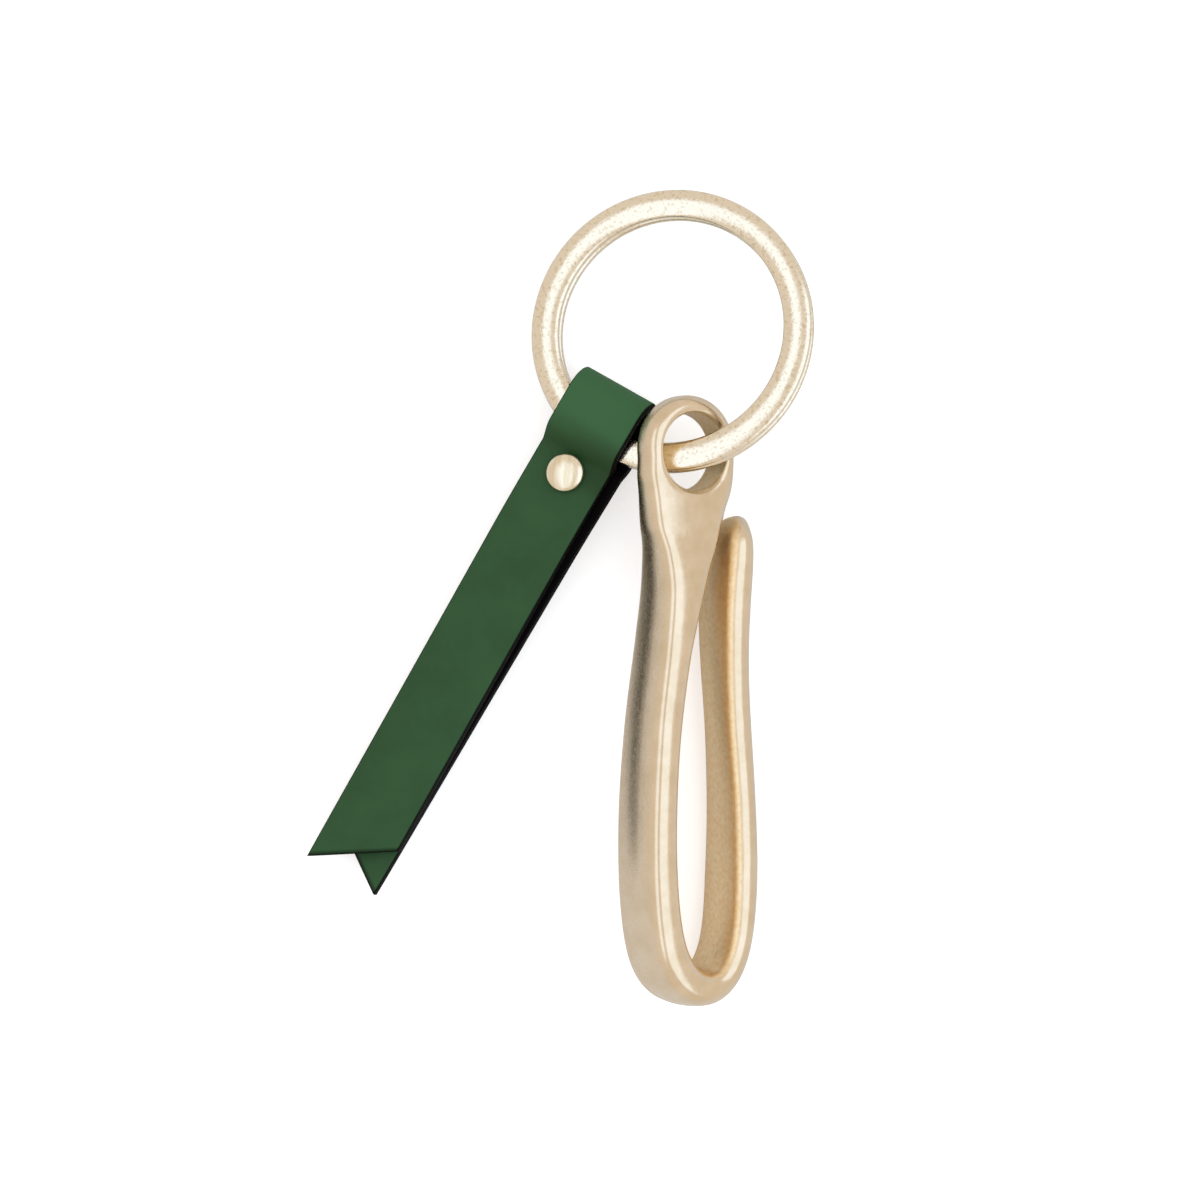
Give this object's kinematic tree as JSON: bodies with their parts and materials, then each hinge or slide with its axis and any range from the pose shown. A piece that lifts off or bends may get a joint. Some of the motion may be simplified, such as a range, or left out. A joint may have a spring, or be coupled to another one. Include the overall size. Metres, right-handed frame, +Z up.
{
  "type": "fish hook keychain",
  "caption": "Cast brass key hook in a fish hook's form on a flat split ring, with a folded leather strap riveted round the ring; hangs keys from a pocket or a belt.",
  "frame": {"origin": "centre of the underside of the whole part's box as it lies on a table", "axes": "+Y from the hook's bend towards the split ring, +X to the right as the part is seen from above, +Z up from the table"},
  "size_m": [0.0638, 0.1024, 0.0157],
  "materials": {
    "cast_champagne_brass": "satin, cast and tumbled, champagne plated",
    "ring_champagne_brass": "satin to bright, champagne plated wire",
    "green_leather": "smooth dyed, dark painted edges",
    "rivet_cap_brass": "satin brushed",
    "rivet_core_brass": "plain drawn"
  },
  "bodies": {
    "hook_body": {"hook": "cast_champagne_brass"},
    "ring_body": {"split_ring": "ring_champagne_brass"},
    "strap_body": {"leather_strap": "green_leather", "rivet_front_cap": "rivet_cap_brass", "rivet_socket": "rivet_core_brass", "rivet_post": "rivet_core_brass", "rivet_back_cap": "rivet_cap_brass"}
  },
  "joints": [
    {"name": "ring_roll", "type": "hinge", "parent": "hook_body", "child": "ring_body", "pos_m": [0.0159, 0.01805, 0.00852], "axis": [0, -0.9999, -0.0101], "range_deg": [0, 72]},
    {"name": "strap_slide", "type": "hinge", "parent": "ring_body", "child": "strap_body", "pos_m": [0.01422, 0.0333, 0.00602], "axis": [-0.2278, 0.1331, 0.9646], "range_deg": [-258, 0]}
  ]
}
